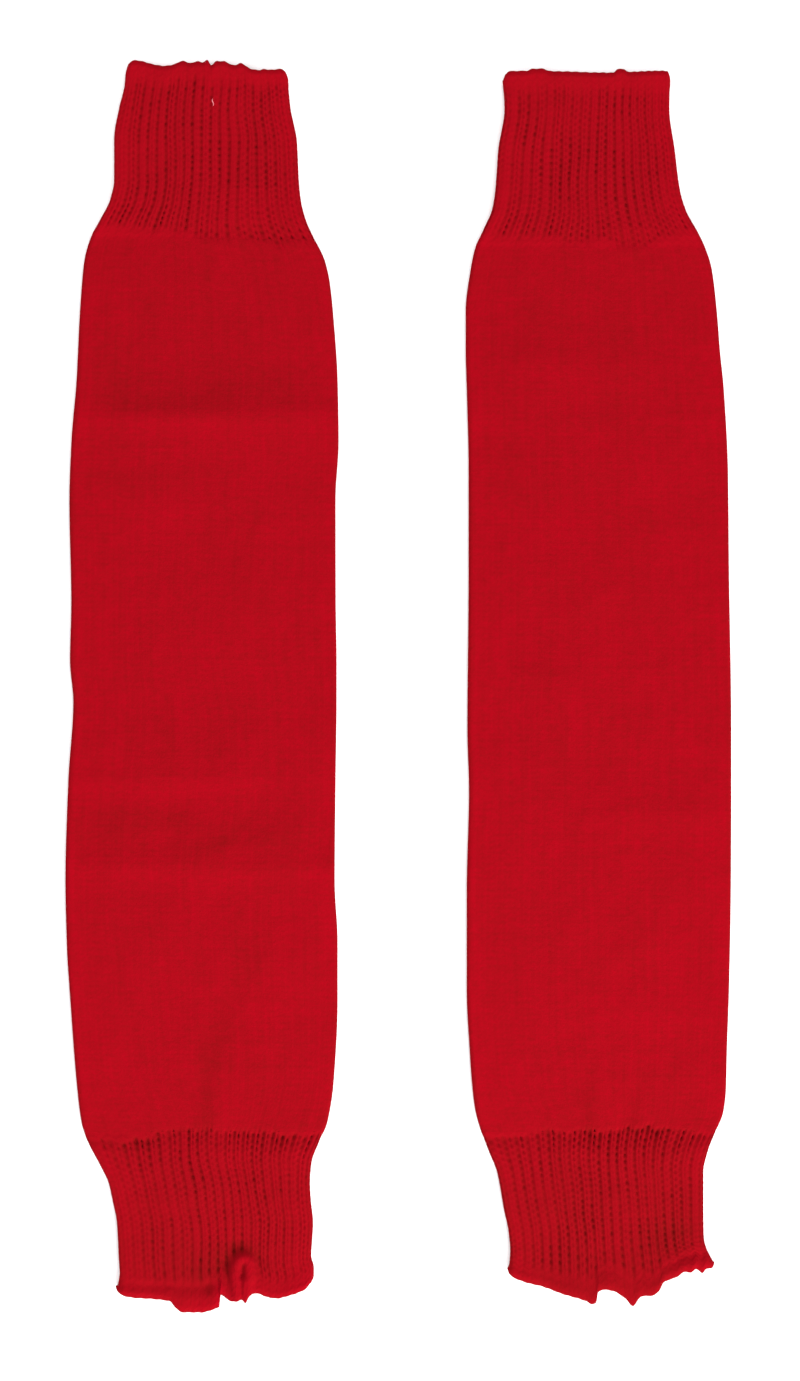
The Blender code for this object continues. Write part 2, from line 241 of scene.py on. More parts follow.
RIGHT_SECTIONS = (
    Section(0, -46.8, 34.8),
    Section(16, -46, 34.4),
    Section(36, -49, 37),
    Section(55, -50.4, 39.4),
    Section(65, -52, 42.2),
    Section(75, -56.3, 47.5),
    Section(84, -60, 51.8),
    Section(94, -62.1, 54.8),
    Section(114, -64.5, 57.2),
    Section(133, -64.5, 58.7),
    Section(152, -64, 60.6),
    Section(191, -63.1, 62.6),
    Section(240, -63.1, 63.1),
    Section(317, -63.7, 64.2),
    Section(346, -62.9, 64.2),
    Section(395, -64, 64),
    Section(443, -64, 63.1),
    Section(472, -62.6, 62.1),
    Section(492, -61.1, 61.6),
    Section(502, -59.7, 60.4),
    Section(511, -57.2, 57),
    Section(521, -53.6, 53),
    Section(531, -49.6, 50.9),
    Section(550, -46.1, 50.9),
    Section(560, -44, 51),
    Section(572, -43.2, 52.2),
    Section(580, -43.4, 54.2),
    Section(586, -44.8, 56.6),
)

# How far each layer reaches past the straight hem line
LEFT_TOP_HEM = (
    HemRow(-38, -1.2, -2.0),
    HemRow(-36.8, 1.2, 0.0),
    HemRow(-33.5, 2.6, 1.2),
    HemRow(-29.5, 2.0, 0.8),
    HemRow(-25.5, 0.9, 0.4),
    HemRow(-19, -0.1, 0.0),
    HemRow(-15, 0.5, 0.0),
    HemRow(-10.5, 2.3, 0.6),
    HemRow(-6.5, 1.3, 0.2),
    HemRow(-3.5, 2.2, 0.2),
    HemRow(-1, 1.6, 0.0),
    HemRow(1.4, 2.7, 0.0),
    HemRow(3.4, 0.2, -0.6),
    HemRow(6, 2.1, -0.4),
    HemRow(9, 2.1, -0.6),
    HemRow(14.5, 0.2, -1.2),
    HemRow(17.5, 1.2, -1.4),
    HemRow(22.5, -1.6, -2.2),
    HemRow(26.7, -2.2, -2.6),
    HemRow(29, -1.7, -2.6),
    HemRow(32, -2.0, -2.8),
    HemRow(37, -1.6, -3.0),
    HemRow(39.4, -2.6, -4.0),
    HemRow(40.8, -5.0, -5.6),
)

RIGHT_TOP_HEM = (
    HemRow(-46.8, -1.6, -2.4),
    HemRow(-45.4, 0.6, -0.6),
    HemRow(-43, 1.9, 0.8),
    HemRow(-35, 1.9, 1.0),
    HemRow(-32.4, 2.9, 1.2),
    HemRow(-27, 3.1, 1.2),
    HemRow(-24, 2.0, 1.0),
    HemRow(-9, 1.5, 0.8),
    HemRow(6.8, 1.1, 0.4),
    HemRow(8.8, 2.7, 0.8),
    HemRow(11.8, 3.0, 0.8),
    HemRow(14, 1.6, 0.6),
    HemRow(31, 2.0, 1.0),
    HemRow(33.6, 2.0, 0.4),
    HemRow(34.8, -0.8, -2.0),
)

LEFT_BOTTOM_HEM = (
    HemRow(-44.2, -2.4, -3.4),
    HemRow(-41, 0.6, -1.0),
    HemRow(-35.5, 2.2, 0.6),
    HemRow(-23, 3.2, 1.6),
    HemRow(-16.8, 4.0, 2.2),
    HemRow(-14, 7.0, 4.6),
    HemRow(-11, 9.4, 7.2),
    HemRow(-2, 9.6, 7.6),
    HemRow(5, 7.8, 5.8),
    HemRow(7.4, 6.6, 4.6),
    HemRow(7.9, 0.8, -0.6),
    HemRow(10.7, 2.8, 1.0),
    HemRow(13.5, 4.2, 2.4),
    HemRow(15.5, 4.0, 2.2),
    HemRow(18, 3.2, 1.4),
    HemRow(20, 4.6, 2.6),
    HemRow(21.6, 2.0, 0.4),
    HemRow(24, 0.2, -1.4),
    HemRow(27, 0.6, -1.0),
    HemRow(30, 2.0, 0.4),
    HemRow(35, 2.8, 1.0),
    HemRow(41, 1.4, -0.2),
    HemRow(49, -1.8, -2.8),
    HemRow(51.6, -4.4, -4.8),
)

RIGHT_BOTTOM_HEM = (
    HemRow(-44.8, -7.2, -8.0),
    HemRow(-43.6, -5.2, -6.4),
    HemRow(-35, -1.4, -2.6),
    HemRow(-27.5, 0.5, -0.8),
    HemRow(-18.5, 3.8, 2.4),
    HemRow(-6, 7.7, 5.4),
    HemRow(-3.8, 9.0, 5.0),
    HemRow(-1.3, 8.6, 3.8),
    HemRow(-0.6, 3.4, 2.2),
    HemRow(2, 1.9, 1.4),
    HemRow(6, 2.3, 1.8),
    HemRow(9.5, 3.9, 3.0),
    HemRow(13, 6.6, 5.0),
    HemRow(16.5, 10.0, 7.4),
    HemRow(20.5, 5.2, 5.0),
    HemRow(26.2, 4.8, 3.6),
    HemRow(29, 2.6, 1.4),
    HemRow(31.5, -1.6, -2.8),
    HemRow(37.3, -4.0, -5.4),
    HemRow(42.2, -6.8, -8.0),
    HemRow(44.4, -6.3, -7.8),
    HemRow(47, -8.2, -9.4),
    HemRow(50, -6.0, -7.8),
    HemRow(52, -8.2, -9.4),
    HemRow(55, -8.3, -9.6),
    HemRow(56.6, -10.2, -11.0),
)

# How far the ribs reach past the seams into the plain leg, from side to side
LEFT_RIB_ENDS = (
    RibEnd(-41, -5.0, -2.8),
    RibEnd(-26, -2.8, 0.0),
    RibEnd(-6, 0.1, 2.6),
    RibEnd(4, 1.1, 3.1),
    RibEnd(17, 2.0, 2.2),
    RibEnd(29, 3.5, 1.6),
    RibEnd(41, 4.5, 0.2),
)
RIGHT_RIB_ENDS = (
    RibEnd(-46, -3.4, -0.2),
    RibEnd(-31, -2.4, 1.2),
    RibEnd(-6, -2.0, 2.3),
    RibEnd(10, -0.4, 3.7),
    RibEnd(20, 0.4, 3.7),
    RibEnd(31, -3.6, 3.6),
    RibEnd(46, -7.4, 1.5),
)

# Width of the plain welt above the bottom hem, and how strong the crease above it is
LEFT_WELT = (
    WeltRow(-44, 5, 0.2),
    WeltRow(-40, 5.8, 0.5),
    WeltRow(-20, 6.6, 0.7),
    WeltRow(-15, 9, 0.7),
    WeltRow(-11, 12, 0.7),
    WeltRow(3, 12.6, 0.8),
    WeltRow(7, 10, 0.8),
    WeltRow(9, 7, 0.5),
    WeltRow(14, 6, 0),
    WeltRow(27, 6, 0.1),
    WeltRow(50, 4.5, 0.2),
)
RIGHT_WELT = (
    WeltRow(-44, 5, 0.2),
    WeltRow(-20, 7, 0.2),
    WeltRow(-4, 9, 0.2),
    WeltRow(16, 10, 0.2),
    WeltRow(28, 7.5, 0.3),
    WeltRow(36, 7.3, 0.6),
    WeltRow(44, 7.8, 0.6),
    WeltRow(53, 8.6, 0.5),
    WeltRow(56, 7, 0.3),
)

# Soft ridges and, where the height is negative, troughs of the front layer. rise and
# fall are the widths of their upper and lower slopes. slant is the fall, in degrees, of
# a ridge that runs across, and one that runs down the leg has 90.
LEFT_RIDGES = (
    Ridge(169.5, 0, 150, 13, 12, 1.7, -1),
    Ridge(168, -8, 60, 5, 10, 0.5, 1),
    Ridge(345.5, -17, 104, 20, 6, 1.1, -1),
    Ridge(374, 31, 64, 7, 12, 0.6, -17),
    Ridge(387.5, 0, 150, 13, 11, 1.6, 1),
    Ridge(112, 6, 60, 14, 5, 0.25, 90),
    Ridge(497, 6, 34, 12, 4, 0.4, 93),
    Ridge(449, 21, 72, 16, 6, 0.35, 115),
)

RIGHT_RIDGES = (
    Ridge(139, -7, 90, 14, 16, 0.8, 2),
    Ridge(166.5, 15, 84, 3, 9, 0.45, 0),
    Ridge(256, -9, 34, 5, 8, 0.6, -24),
    Ridge(291, -24, 34, 5, 9, 0.45, 8),
    Ridge(358.5, 25, 84, 7, 12, 0.6, -1),
    Ridge(425, 10, 40, 5, 9, 0.5, -20),
    Ridge(502, -2, 26, 10, 4, 0.35, 90),
    Ridge(503, 20, 20, 8, 3, 0.25, 96),
)

# Round places where the front layer sinks in by a depth, and where its furrows are
# deeper, or shallower where the last number is negative. The depth also paints shade
# into each pucker.
LEFT_PUCKERS = (
    Pucker(568, -24, 20, 0, -0.35),
    Pucker(562, 38, 18, 0, -0.2),
    Pucker(580.5, 11, 4.5, 1.1, 0.3),
    Pucker(572, 16.5, 4.5, 0.8, 0.5),
    Pucker(578, 26.5, 3.6, 0.6, 0.3),
    Pucker(582, 3, 8, 0.35, 0.1),
    Pucker(585.6, 17.9, 1.1, 1.1, 0),
    Pucker(591.5, 2, 2.4, 0.7, 0),
)
RIGHT_PUCKERS = (
    Pucker(562, 35, 10, 0.5, 0.3),
)

# Painted shade and painted light: soft dark marks on the shaded slopes of the creases and
# troughs, round the hem's loop and over the bottom cuffs, and light ones, with a negative
# shade, on the lit slopes and where the geometry shades too darkly; a slant of 90 runs
# down the leg
LEFT_PAINTED_SHADES = (
    Nap(103, 1.5, 44, 3, 90, 0.20),
    Nap(92, -36, 30, 8, 0, 0.07),
    Nap(143, -47, 22, 6, -8, 0.14),
    Nap(146, 12, 40, 8, 0, 0.04),
    Nap(163, -20, 60, 4, -2, 0.26),
    Nap(157, -44, 22, 4, -30, 0.14),
    Nap(158, 29, 30, 7, 3, 0.08),
    Nap(154, 0, 130, 12, 0, 0.13),
    Nap(175, 0, 150, 4, -1, -0.12),
    Nap(188, -25, 70, 2.5, 1, -0.08),
    Nap(199, -30, 66, 3, 0, 0.08),
    Nap(213, -10, 90, 2.5, 1, -0.08),
    Nap(236, 47, 24, 5, -4, 0.11),
    Nap(271, -4, 60, 2.5, 0, 0.11),
    Nap(277, 53, 18, 5, -20, 0.11),
    Nap(350.5, -17, 104, 4, -1, -0.16),
    Nap(364, -14, 26, 4, 2, 0.20),
    Nap(374, 10, 36, 4, -38, 0.28),
    Nap(371, 43, 28, 5, -14, 0.20),
    Nap(366, -42, 44, 9, 0, 0.18),
    Nap(375, 0, 140, 12, 0, 0.12),
    Nap(394, 0, 150, 5, 1, -0.12),
    Nap(397, 39, 18, 6, 0, 0.12),
    Nap(434, 23, 36, 8, 125, 0.24),
    Nap(469, 8, 38, 10, 108, 0.26),
    Nap(497, 1.2, 46, 4, 91, 0.46),
    Nap(584, 7.5, 6, 0.9, 50, 0.40),
    Nap(579.8, 8.6, 7, 0.9, 58, 0.45),
    Nap(577.2, 11.6, 7, 0.9, 64, 0.50),
    Nap(573.6, 14.6, 8, 0.9, 74, 0.50),
    Nap(571.8, 18.0, 7, 0.9, 84, 0.45),
    Nap(572.4, 21.8, 7, 0.9, 97, 0.40),
    Nap(576.0, 25.6, 8, 0.9, 112, 0.35),
    Nap(581.0, -2.5, 8, 1.2, 70, 0.30),
    Nap(585.5, 1.5, 7, 1.2, 62, 0.30),
    Nap(588, 7.2, 15, 1.6, 90, -0.55),
    Nap(592, 1, 24, 2.5, -4, -0.12),
    Nap(578, 5, 46, 7, 0, 0.34),
    Nap(573, 17, 24, 4, 0, 0.25),
    Nap(585, -18, 60, 4, 0, 0.12),
    Nap(573, -24, 50, 12, 0, 0.12),
    Nap(519, -36, 56, 3, -3, 0.16),
    Nap(556, 0, 200, 40, 0, 0.34),
)
RIGHT_PAINTED_SHADES = (
    Nap(106, -40, 64, 7, 90, 0.07),
    Nap(112, -17, 70, 7, 90, 0.07),
    Nap(118, 8, 70, 8, 90, 0.09),
    Nap(111, 48, 28, 5, 100, 0.08),
    Nap(147, -28, 76, 5, 0, -0.08),
    Nap(168, -4, 64, 5, 0, 0.08),
    Nap(259, -11, 26, 3, -30, 0.08),
    Nap(290.5, -25, 26, 3, 5, 0.10),
    Nap(352, -34, 28, 4, 0, 0.10),
    Nap(357, -2, 28, 3, -6, 0.12),
    Nap(351, 28, 54, 3.5, 0, 0.09),
    Nap(363, -30, 44, 4, 0, -0.08),
    Nap(410, 5, 34, 6, 0, 0.06),
    Nap(417, 42, 34, 6, -5, 0.08),
    Nap(430, 1, 30, 4, -30, 0.12),
    Nap(473, -23, 48, 3, 3, 0.10),
    Nap(495, 45, 30, 5, 80, 0.10),
    Nap(498, -4, 40, 3.5, 90, 0.36),
    Nap(503, 17, 24, 3, 96, 0.26),
    Nap(562, 36, 40, 10, -15, 0.34),
    Nap(552, 0, 200, 38, 0, 0.48),
    Nap(580, -2, 96, 12, 6, 0.18),
    Nap(588, 14, 54, 9, 0, 0.26),
    Nap(586, -14, 34, 6, 20, 0.22),
)

# A roll of the left bottom hem, puckered up into a loop round a dimple
LEFT_LOOP = (
    LoopPoint(598, 16.8),
    LoopPoint(590, 15.6),
    LoopPoint(583, 15),
    LoopPoint(578.6, 16.6),
    LoopPoint(577, 19.4),
    LoopPoint(579.4, 22),
    LoopPoint(585, 22),
    LoopPoint(590, 20.4),
    LoopPoint(597, 20),
)
LOOP_HEIGHT = 2.3
LOOP_RADIUS = 2.9
LOOP_STEPS = 12

LEFT = LegWarmer(
    name="left",
    seed=11,
    leg_from=84.0,
    leg_to=516.0,
    end=594.0,
    sections=LEFT_SECTIONS,
    top_hem=LEFT_TOP_HEM,
    bottom_hem=LEFT_BOTTOM_HEM,
    rib_ends=LEFT_RIB_ENDS,
    welt=LEFT_WELT,
    top_lean=0.0,
    lean=0.035,
    swing=(0.05, 0.045),
    ridges=LEFT_RIDGES,
    puckers=LEFT_PUCKERS,
    nap=LEFT_PAINTED_SHADES,
    loop=LEFT_LOOP,
)
RIGHT = LegWarmer(
    name="right",
    seed=29,
    leg_from=84.0,
    leg_to=511.5,
    end=586.0,
    sections=RIGHT_SECTIONS,
    top_hem=RIGHT_TOP_HEM,
    bottom_hem=RIGHT_BOTTOM_HEM,
    rib_ends=RIGHT_RIB_ENDS,
    welt=RIGHT_WELT,
    top_lean=0.055,
    lean=0.012,
    swing=(0.03, 0.02),
    ridges=RIGHT_RIDGES,
    puckers=RIGHT_PUCKERS,
    nap=RIGHT_PAINTED_SHADES,
    loop=(),
)

# A pale stray fibre on the left top cuff; colours are linear red, green and blue
FLECK_ACROSS = 4.2
FLECK_ALONG = (16.3, 19.9)
FLECK_RADIUS = 0.25
FLECK_TIP = 0.02
FLECK_BEND = -0.3
FLECK_RINGS = 15
FLECK_SIDES = 8
FLECK_DARK = (0.46, 0.06, 0.09)
FLECK_LIGHT = (0.62, 0.22, 0.24)
FLECK_MIDDLE = 0.6
FLECK_ROUGHNESS = 0.8
FLECK_GLOSS = 0.2

# Looks of the two knits. Shades say how far a thing moves the colour from dark to light,
# from base_shade on; bumps are heights in millimetres. The gap shade is painted shade in
# the gaps between the yarns. The shade read from the hollow attribute is painted shade in
# the knit's hollows and puckers, round the folds and hems and at the dark marks, and
# painted light at the light marks and beside the folds. The other shades are the yarn's
# own uneven tone.
Look = namedtuple(
    "Look",
    "ribbed dark light yarn_shade fibre_shade mottle_shade streak_shade patch_shade"
    " depth_shade stitch_bump fibre_bump mottle_scale base_shade",
)
DARK_RED = (0.119, 0.0030, 0.0029)
LIGHT_RED = (0.2416, 0.0015, 0.0059)
LEG_LOOK = Look(
    ribbed=False,
    dark=DARK_RED,
    light=LIGHT_RED,
    yarn_shade=0.03,
    fibre_shade=0.34,
    mottle_shade=0.80,
    streak_shade=0.42,
    patch_shade=0.35,
    depth_shade=0.5,
    stitch_bump=0.03,
    fibre_bump=0.14,
    mottle_scale=(0.65, 1.7),
    base_shade=0.78,
)
CUFF_LOOK = Look(
    ribbed=True,
    dark=DARK_RED,
    light=LIGHT_RED,
    yarn_shade=0.06,
    fibre_shade=0.22,
    mottle_shade=0.40,
    streak_shade=0.15,
    patch_shade=0.25,
    depth_shade=0.45,
    stitch_bump=0.08,
    fibre_bump=0.14,
    mottle_scale=(2.0, 0.6),
    base_shade=0.86,
)
KNIT_ROUGHNESS = 0.95
SHEEN = 0.10
SHEEN_ROUGHNESS = 0.5
SHEEN_TINT = (1.0, 0.05, 0.10, 1.0)

# Stitches, in wales and courses: how steeply a stitch's arms rise, and the gaps between
ARM_RISE = 0.55
YARN_MIDDLE = 0.4
MIDDLE_GAP = 0.35
MIDDLE_SHARPNESS = 6.0
SIDE_SHARPNESS = 5.0
GAP_DEPTH = 0.8

# Noises: those of fibres and patches are laid out in metres, the others in stitches,
# which each streak scale stretches across the wales or along the courses
Noise = namedtuple("Noise", "scale detail roughness")
FIBRE_NOISE = Noise(1100.0, 3.0, 0.65)
FLECK_NOISE = Noise(1100.0, 2.0, 0.5)
PATCH_NOISE = Noise(38.0, 4.0, 0.6)
MOTTLE_NOISE = Noise(1.0, 3.0, 0.6)
STREAK_NOISE = Noise(1.0, 2.0, 0.5)
WALE_STREAK_SCALE = (0.9, 0.06)
COURSE_STREAK_SCALE = (0.05, 0.6)
COURSE_STREAK_SHARE = 0.6

# Studio, in metres and watts
FLOOR_HALF = 2.5
FLOOR_WHITE = (0.94, 0.94, 0.94, 1.0)
FLOOR_ROUGHNESS = 0.9
FLOOR_GLOSS = 0.1
WORLD_WHITE = (1.0, 1.0, 1.0, 1.0)
WORLD_STRENGTH = 1.05
Light = namedtuple("Light", "name place size power")
LIGHTS = (
    Light("key", (0.95, -1.9, 1.15), 1.2, 108.0),
    Light("fill", (-1.3, 0.3, 1.7), 1.4, 12.0),
    Light("back", (0.4, 1.6, 1.8), 1.4, 10.0),
)

# Camera, straight above the pair and a little off its middle
PHOTO_HEIGHT_PX = 1381
MM_A_PX = 0.485
CAMERA_LENS_MM = 100.0
CAMERA_SENSOR_MM = 36.0
CAMERA_OFF_CENTRE = (0.8, -2.0)


def column(rows, name):
    """One column of a table as an array."""
    return np.array([getattr(row, name) for row in rows], float)


def smooth(at, places, values):
    """A smooth curve through a table's values, which never overshoots them."""
    step = np.diff(places)
    slope = np.diff(values) / step
    tangent = np.zeros_like(values)
    same_way = slope[:-1] * slope[1:] > 0
    mean = 2.0 * slope[:-1] * slope[1:] / np.where(same_way, slope[:-1] + slope[1:], 1.0)
    tangent[1:-1] = np.where(same_way, mean, 0.0)
    tangent[0], tangent[-1] = slope[0], slope[-1]
    at = np.clip(at, places[0], places[-1])
    i = np.clip(np.searchsorted(places, at) - 1, 0, len(step) - 1)
    t = (at - places[i]) / step[i]
    start = (2 * t**3 - 3 * t**2 + 1) * values[i] + (t**3 - 2 * t**2 + t) * step[i] * tangent[i]
    stop = (3 * t**2 - 2 * t**3) * values[i + 1] + (t**3 - t**2) * step[i] * tangent[i + 1]
    return start + stop


def read_table(rows, at, key, name):
    """A smooth curve through one column of a table, read at places of its key column."""
    return smooth(at, column(rows, key), column(rows, name))


def side_folds(warmer, along):
    """The left and right side folds at distances below the top hem."""
    left = read_table(warmer.sections, along, "along", "left")
    right = read_table(warmer.sections, along, "along", "right")
    return left, right


def fold_distance(warmer, across, along):
    """Distance from the nearer side fold."""
    left, right = side_folds(warmer, along)
    return np.minimum(across - left, right - across)


def fade(distance, reach):
    """1 at a hem, falling softly to 0 at the distance called reach."""
    share = np.clip(distance / reach, 0.0, 1.0)
    return (1.0 - share) ** 2 * (1.0 + 2.0 * share)


def bell(distance, width):
    """1 at no distance, falling softly to 0 on both sides, to 0.37 at the width."""
    return np.exp(-((distance / width) ** 2))


def spread(limits, share):
    """A value from a spread: the least one, and what a share of the rest adds to it."""
    least, more = limits
    return least + more * share


def soft_waves(seed, waves, across, along):
    """Seeded waves that cross the cloth in all directions, about as high as their size."""
    size, shortest, longest = waves
    random = np.random.default_rng(seed)
    total = np.zeros(np.broadcast(across, along).shape)
    for _ in range(WAVE_COUNT):
        length = random.uniform(shortest, longest)
        turn = random.uniform(0.0, math.pi)
        phase = random.uniform(0.0, 2.0 * math.pi)
        way = across * math.cos(turn) + along * math.sin(turn)
        total += np.sin(2.0 * math.pi * way / length + phase)
    return size * (total * math.sqrt(2.0 / WAVE_COUNT))


def beside_line(mark, across, along):
    """Distances beside a ridge's or mark's line, and its share, which falls at its ends."""
    turn = math.radians(mark.slant)
    over, down = across - mark.across, along - mark.along
    lengthwise = over * math.cos(turn) + down * math.sin(turn)
    sideways = down * math.cos(turn) - over * math.sin(turn)
    return sideways, np.exp(-((lengthwise / (0.5 * mark.length)) ** 4))


def ridge_height(warmer, across, along):
    """How far the ridges lift the front layer; each has a soft crest and uneven slopes."""
    lift = np.zeros(np.broadcast(across, along).shape)
    for ridge in warmer.ridges:
        sideways, taper = beside_line(ridge, across, along)
        width = np.where(sideways < 0.0, ridge.rise, ridge.fall)
        rounded = np.hypot(sideways, RIDGE_CREST) - RIDGE_CREST
        lift += ridge.height * taper * np.exp(-rounded / width)
    return lift


def hem_shift(warmer, across, along, front=1.0):
    """How far the hems pull a point up or down the leg; front is 1 on the front layer."""
    shift = 0.0
    for hem, distance, way in (
        (warmer.bottom_hem, warmer.end - along, 1.0),
        (warmer.top_hem, along, -1.0),
    ):
        on_front = read_table(hem, across, "across", "front")
        on_back = read_table(hem, across, "across", "back")
        reach = front * on_front + (1.0 - front) * on_back
        shift = shift + way * reach * fade(distance, HEM_REACH)
    return shift


def edge_distance(warmer, across, along):
    """Distance of the front layer's points above the line of the bottom hem."""
    reach = read_table(warmer.bottom_hem, across, "across", "front")
    return warmer.end - along + reach * (1.0 - fade(warmer.end - along, HEM_REACH))


def pucker_sum(warmer, across, along, name):
    """The depth or the furrows that the puckers add together, softly round each one."""
    down = along + hem_shift(warmer, across, along)
    total = 0.0
    for pucker in warmer.puckers:
        away = np.hypot(across - pucker.across, down - pucker.along)
        total = total + getattr(pucker, name) * bell(away, pucker.radius)
    return total


def loop_share(warmer, across, along):
    """1 on the crest of the roll that the hem's loop makes, falling to 0 beside it."""
    if not warmer.loop or np.max(along) < warmer.leg_to:
        return 0.0
    down = along + hem_shift(warmer, across, along)
    steps = np.arange(len(warmer.loop))
    at = np.linspace(0.0, steps[-1], LOOP_STEPS * len(steps))
    nearest = np.full(np.broadcast(across, along).shape, np.inf)
    for x, y in zip(
        smooth(at, steps, column(warmer.loop, "across")),
        smooth(at, steps, column(warmer.loop, "along")),
    ):
        nearest = np.minimum(nearest, np.hypot(across - x, down - y))
    return np.exp(-((nearest / LOOP_RADIUS) ** 3))


def hem_height(warmer, across, along):
    """How far the hems' rounded edges, welts, rolls and puckers lift the front layer."""
    from_edge = edge_distance(warmer, across, along)
    width = read_table(warmer.welt, across, "across", "width")
    crease = read_table(warmer.welt, across, "across", "crease")
    bulge = np.sin(math.pi * np.clip(from_edge / width, 0.0, 1.0))
    lift = crease * (WELT_BULGE * bulge - CREASE_DEPTH * bell(from_edge - width, CREASE_WIDTH))
    lift = lift - EDGE_DROP * (fade(from_edge, EDGE_REACH) + fade(along, EDGE_REACH))
    lift = lift - pucker_sum(warmer, across, along, "depth")
    return lift + LOOP_HEIGHT * loop_share(warmer, across, along)


def wall_at(warmer, along):
    """Thickness of the cloth: the leg's up to the seams, then growing to the cuffs'."""
    into_cuff = np.maximum(warmer.leg_from - along, along - warmer.leg_to)
    return CUFF_WALL - (CUFF_WALL - LEG_WALL) * fade(np.maximum(into_cuff, 0.0), WALL_BLEND)


def front_height(warmer, across, along):
    """Height of the front layer's outer face above the surface, on a rib's crest."""
    puff = FOLD_PUFF * bell(fold_distance(warmer, across, along), FOLD_PUFF_WIDTH)
    mouth = np.minimum(along, warmer.end - along)
    ripple = MOUTH_RIPPLE * np.sin(2.0 * math.pi * across / MOUTH_RIPPLE_LENGTH)
    parted = MOUTH_LIFT * fade(mouth, MOUTH_REACH) * (1.0 + ripple)
    height = 2.0 * wall_at(warmer, along) + LAYER_GAP + puff + parted
    height = height + ridge_height(warmer, across, along) + hem_height(warmer, across, along)
    uneven = np.zeros_like(height)
    for seed, waves in enumerate((BROAD_WAVES, SMALL_WAVES), warmer.seed):
        uneven += soft_waves(seed, waves, across, along)
    return height + np.maximum(uneven, -DEEPEST_WAVE)


def ring_columns(knit):
    """The columns round a tube: side, place on that side and wale number.

    Sides run 0 front, 1 right fold, 2 back and 3 left fold, from the front's left end.
    """
    side, place = [], []
    for number in range(4):
        count = (knit.across, knit.fold)[number % 2] * knit.points
        side += [number] * count
        place += [i / count for i in range(count)]
    wale = np.arange(len(side)) / knit.points
    return np.array(side), np.array(place), wale


def at_bottom(warmer, along):
    """Whether the bottom cuff is the nearer one."""
    return along > 0.5 * warmer.end


def ribs_across(warmer, along):
    """How many ribs lie across one layer in the nearer cuff."""
    return np.where(at_bottom(warmer, along), BOTTOM_RIBS, TOP_RIBS)


def count_ribs(warmer, along, side, place):
    """Ribs between the front's left end and each point, counted round the tube."""
    ribs = ribs_across(warmer, along)
    halves = side // 2 * (ribs + RIBS_ROUND_FOLD)
    return halves + np.where(side % 2 == 0, ribs * place, ribs + RIBS_ROUND_FOLD * place)


def stray(warmer, place, along):
    """How far the wales wander sideways, as a share of a side's width."""
    shift = np.zeros(np.broadcast(place, along).shape)
    for seed, waves in enumerate((STRAY_WAVES, PITCH_WAVES), warmer.seed + STRAY_SEED):
        shift += soft_waves(seed, waves, STRAY_ACROSS * place, along) / BOTTOM_RIBS
    lean = warmer.lean * fade(warmer.end - along, LEAN_REACH_SHARE * warmer.end)
    lean = lean + warmer.top_lean * fade(along, TOP_LEAN_REACH)
    left_swing, right_swing = warmer.swing
    swing = left_swing * np.sin(math.pi * np.sqrt(place))
    swing = swing - right_swing * np.sin(math.pi * place**2)
    swing = swing * fade(np.abs(along - warmer.leg_to), SWING_REACH)
    return (shift + lean) * np.sin(math.pi * place) + swing


def lay_tube(warmer, along, side, place):
    """Points on a plain flattened tube, and the way out of its surface at each.

    along is one distance below the top hem for each row.
    """
    along = along[:, None]
    left, right = side_folds(warmer, along)
    left_radius = 0.5 * front_height(warmer, left, along)
    right_radius = 0.5 * front_height(warmer, right, along)
    start, stop = left + left_radius, right - right_radius
    rib = count_ribs(warmer, along, side, place)
    flat = (side == 0) | (side == 2)
    place = place + stray(warmer, place, along) * flat
    turn = 0.5 * math.pi - math.pi * place
    sides = [side == 0, side == 1, side == 2]
    turn = np.select(sides, [0.5 * math.pi, turn, -0.5 * math.pi], -math.pi + turn)
    x = np.select(
        sides,
        [
            start + (stop - start) * place,
            stop + right_radius * np.cos(turn),
            stop + (start - stop) * place,
        ],
        start + left_radius * np.cos(turn),
    )
    z = np.select(
        sides,
        [front_height(warmer, x, along), right_radius * (1.0 + np.sin(turn)), 0.0 * place],
        left_radius * (1.0 + np.sin(turn)),
    )
    front = 0.5 + 0.5 * np.sin(turn)
    out = np.stack([np.cos(turn), 0.0 * turn, np.sin(turn)], axis=-1)
    down = along + hem_shift(warmer, x, along, front)
    near_hem = fade(warmer.end - along, SCALLOP_REACH) - fade(along, SCALLOP_REACH)
    down = down - SCALLOP * near_hem * np.cos(2.0 * math.pi * rib)
    return np.stack([x, -down, z], axis=-1), out


def painted_shade_at(warmer, across, along):
    """Painted shade at the dark marks and in the puckers, and painted light at the light marks.
    """
    shade = PAINTED_PUCKER_SHADE * pucker_sum(warmer, across, along, "depth")
    for mark in warmer.nap:
        sideways, taper = beside_line(mark, across, along)
        shade = shade + mark.shade * taper * bell(sideways, mark.width)
    return shade * (1.0 - loop_share(warmer, across, along))


def painted_rim_shade(warmer, side, place, across, along):
    """Painted shade round the side folds and at the two hems, less a band of painted light
    beside the folds on the front.
    """
    fold = np.where(side % 2 == 1, np.sin(math.pi * place), 0.0)
    rim = PAINTED_RIM_SHADE * np.maximum(fold, fade(along, RIM_REACH))
    bottom = fade(edge_distance(warmer, across, along), RIM_REACH)
    rim = np.maximum(rim, PAINTED_BOTTOM_RIM_SHADE * bottom)
    light = bell(fold_distance(warmer, across, along) - PAINTED_FOLD_LIGHT_FROM, PAINTED_FOLD_LIGHT_REACH)
    return rim - PAINTED_FOLD_LIGHT * light * (side == 0)


def ribs_inside(warmer, across, along, own_start):
    """Distance inside the ribbed part from where the ribs start, uneven from rib to rib."""
    into_cuff = np.maximum(warmer.leg_from - along, along - warmer.leg_to)
    reach = np.where(
        at_bottom(warmer, along),
        read_table(warmer.rib_ends, across, "across", "bottom"),
        read_table(warmer.rib_ends, across, "across", "top"),
    )
    return into_cuff + reach + START_SPREAD * (own_start - 0.5)


